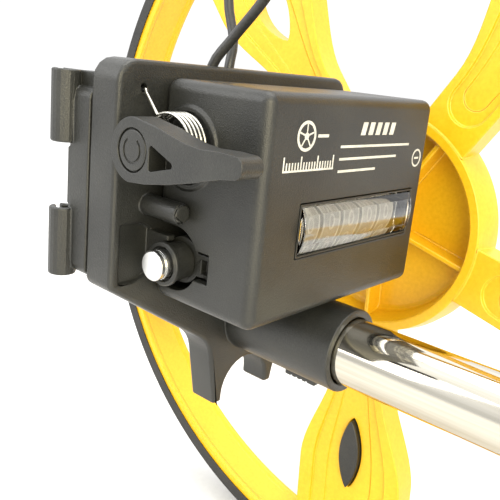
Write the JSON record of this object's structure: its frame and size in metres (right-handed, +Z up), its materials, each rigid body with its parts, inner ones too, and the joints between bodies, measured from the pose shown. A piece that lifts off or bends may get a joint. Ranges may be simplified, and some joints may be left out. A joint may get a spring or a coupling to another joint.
{
  "type": "measuring wheel",
  "caption": "Distance measuring wheel with a geared drum counter beside the hub, a chrome tube handle that folds, a hand brake and a thumb reset.",
  "frame": {"origin": "centre of the axle's outer end face, on the lever side of the counter", "axes": "+X along the handle away from the wheel, +Y along the axle towards the wheel, +Z up"},
  "size_m": [1.1002, 0.1528, 0.3184],
  "materials": {
    "black_plastic": "fine grained moulding, satin",
    "grip_plastic": "satin",
    "yellow_plastic": "semi-gloss moulding",
    "drum_plastic": "satin, printed digits",
    "clear_window": "clear polished plastic",
    "chrome": "bright plated tube",
    "steel": "turned",
    "spring_steel": "bright wire",
    "brass": "machined",
    "tyre": "moulded band",
    "rubber": "matt",
    "cable_jacket": "smooth jacket"
  },
  "bodies": {
    "base": {"mounting_plate": "black_plastic", "rear_cover": "black_plastic", "cover_screw_1": "steel", "cover_screw_2": "steel", "cover_screw_3": "steel", "cover_screw_4": "steel", "counter_housing": "black_plastic", "window_bezel": "black_plastic", "window_lens": "clear_window", "front_bush": "black_plastic", "rear_bush": "brass", "counter_frame": "steel", "drum_shaft": "steel", "pinion_shaft": "steel", "lever_pivot": "steel", "torsion_spring": "spring_steel", "lower_tube": "chrome", "fold_base": "black_plastic", "fold_pin": "steel", "cable_clip_1": "black_plastic", "cable_clip_2": "black_plastic", "brake_cable_lower": "cable_jacket", "reset_cable_lower": "cable_jacket"},
    "wheel_set": {"wheel": "yellow_plastic", "tyre": "tyre", "index_plug": "black_plastic", "axle": "steel", "drive_gear": "brass", "hub_washer": "steel", "hub_nut": "black_plastic"},
    "idler": {"idler_gear": "brass"},
    "drum_1": {"digit_drum_1": "drum_plastic", "drum_gear": "brass"},
    "drum_2": {"digit_drum_2": "drum_plastic"},
    "drum_3": {"digit_drum_3": "drum_plastic"},
    "drum_4": {"digit_drum_4": "drum_plastic"},
    "drum_5": {"digit_drum_5": "drum_plastic"},
    "pinion_1": {"transfer_pinion_1": "brass"},
    "pinion_2": {"transfer_pinion_2": "brass"},
    "pinion_3": {"transfer_pinion_3": "brass"},
    "pinion_4": {"transfer_pinion_4": "brass"},
    "lever": {"reset_lever": "black_plastic", "lever_cap": "black_plastic"},
    "arm": {"brake_arm": "black_plastic"},
    "pad": {"brake_pad": "rubber"},
    "handle": {"fold_head": "black_plastic", "upper_tube": "chrome", "cable_clip_3": "black_plastic", "brake_cable_upper": "cable_jacket", "reset_cable_upper": "cable_jacket", "grip_body": "grip_plastic", "grip_sleeve": "rubber", "grip_end_cap": "rubber", "trigger_pin": "steel", "thumb_pin": "steel"},
    "clamp": {"fold_lever": "black_plastic"},
    "trigger": {"brake_trigger": "grip_plastic"},
    "thumb": {"reset_thumb": "grip_plastic"},
    "button": {"socket_button": "black_plastic"}
  },
  "joints": [
    {"name": "wheel_spin", "type": "hinge", "parent": "base", "child": "wheel_set", "pos_m": [0, 0, 0], "axis": [0, 1, 0], "continuous": true},
    {"name": "idler_spin", "type": "hinge", "parent": "base", "child": "idler", "pos_m": [0.00775, 0.0846, 0.0065], "axis": [0, 1, 0], "continuous": true},
    {"name": "drum_1_spin", "type": "hinge", "parent": "base", "child": "drum_1", "pos_m": [0.0155, 0.068, 0.013], "axis": [0, 1, 0], "continuous": true},
    {"name": "drum_2_spin", "type": "hinge", "parent": "base", "child": "drum_2", "pos_m": [0.0155, 0.058, 0.013], "axis": [0, 1, 0], "continuous": true},
    {"name": "drum_3_spin", "type": "hinge", "parent": "base", "child": "drum_3", "pos_m": [0.0155, 0.048, 0.013], "axis": [0, 1, 0], "continuous": true},
    {"name": "drum_4_spin", "type": "hinge", "parent": "base", "child": "drum_4", "pos_m": [0.0155, 0.038, 0.013], "axis": [0, 1, 0], "continuous": true},
    {"name": "drum_5_spin", "type": "hinge", "parent": "base", "child": "drum_5", "pos_m": [0.0155, 0.028, 0.013], "axis": [0, 1, 0], "continuous": true},
    {"name": "pinion_1_spin", "type": "hinge", "parent": "base", "child": "pinion_1", "pos_m": [0.0089, 0.06765, 0.0255], "axis": [0, 1, 0], "continuous": true},
    {"name": "pinion_2_spin", "type": "hinge", "parent": "base", "child": "pinion_2", "pos_m": [0.0089, 0.05765, 0.0255], "axis": [0, 1, 0], "continuous": true},
    {"name": "pinion_3_spin", "type": "hinge", "parent": "base", "child": "pinion_3", "pos_m": [0.0089, 0.04765, 0.0255], "axis": [0, 1, 0], "continuous": true},
    {"name": "pinion_4_spin", "type": "hinge", "parent": "base", "child": "pinion_4", "pos_m": [0.0089, 0.03765, 0.0255], "axis": [0, 1, 0], "continuous": true},
    {"name": "fold", "type": "hinge", "parent": "base", "child": "handle", "pos_m": [0.385, 0.0541, -0.04185], "axis": [0, 1, 0], "range_deg": [0, 180]},
    {"name": "fold_clamp", "type": "hinge", "parent": "base", "child": "clamp", "pos_m": [0.385, 0.0384, -0.04185], "axis": [0, 1, 0], "range_deg": [-90, 0]},
    {"name": "trigger_pull", "type": "hinge", "parent": "handle", "child": "trigger", "pos_m": [0.818, 0.0541, -0.0467], "axis": [0, -1, 0], "range_deg": [0, 10], "stiffness_Nm_per_rad": 1, "springref_deg": -5.73},
    {"name": "arm_turn", "type": "hinge", "parent": "base", "child": "arm", "pos_m": [0, 0.0133, 0], "axis": [0, -1, 0], "range_deg": [0, 12]},
    {"name": "pad_push", "type": "slide", "parent": "base", "child": "pad", "axis": [0, 1, 0], "range_m": [0, 0.0022]},
    {"name": "thumb_press", "type": "hinge", "parent": "handle", "child": "thumb", "pos_m": [0.822, 0.0541, -0.0092], "axis": [0, 1, 0], "range_deg": [0, 10], "stiffness_Nm_per_rad": 0.5, "springref_deg": -5.73},
    {"name": "lever_dip", "type": "hinge", "parent": "base", "child": "lever", "pos_m": [0.0017, -0.0061, 0.0312], "axis": [0, 1, 0], "range_deg": [0, 25]},
    {"name": "button_press", "type": "slide", "parent": "base", "child": "button", "axis": [0, 0, 1], "range_m": [0, 0.0012], "stiffness_N_per_m": 400, "springref_m": -0.0005}
  ],
  "couplings": [
    {"joint": "idler_spin", "follows": "wheel_spin", "ratio": -1.7778},
    {"joint": "drum_1_spin", "follows": "wheel_spin", "ratio": 1},
    {"joint": "drum_2_spin", "follows": "wheel_spin", "ratio": 0.1},
    {"joint": "drum_3_spin", "follows": "wheel_spin", "ratio": 0.01},
    {"joint": "drum_4_spin", "follows": "wheel_spin", "ratio": 0.001},
    {"joint": "drum_5_spin", "follows": "wheel_spin", "ratio": 0.0001},
    {"joint": "pinion_1_spin", "follows": "wheel_spin", "ratio": -0.25},
    {"joint": "pinion_2_spin", "follows": "wheel_spin", "ratio": -0.025},
    {"joint": "pinion_3_spin", "follows": "wheel_spin", "ratio": -0.0025},
    {"joint": "pinion_4_spin", "follows": "wheel_spin", "ratio": -0.00025},
    {"joint": "arm_turn", "follows": "trigger_pull", "ratio": 1.2},
    {"joint": "pad_push", "follows": "trigger_pull", "m_per_rad": 0.0126},
    {"joint": "lever_dip", "follows": "thumb_press", "ratio": 2.5}
  ]
}
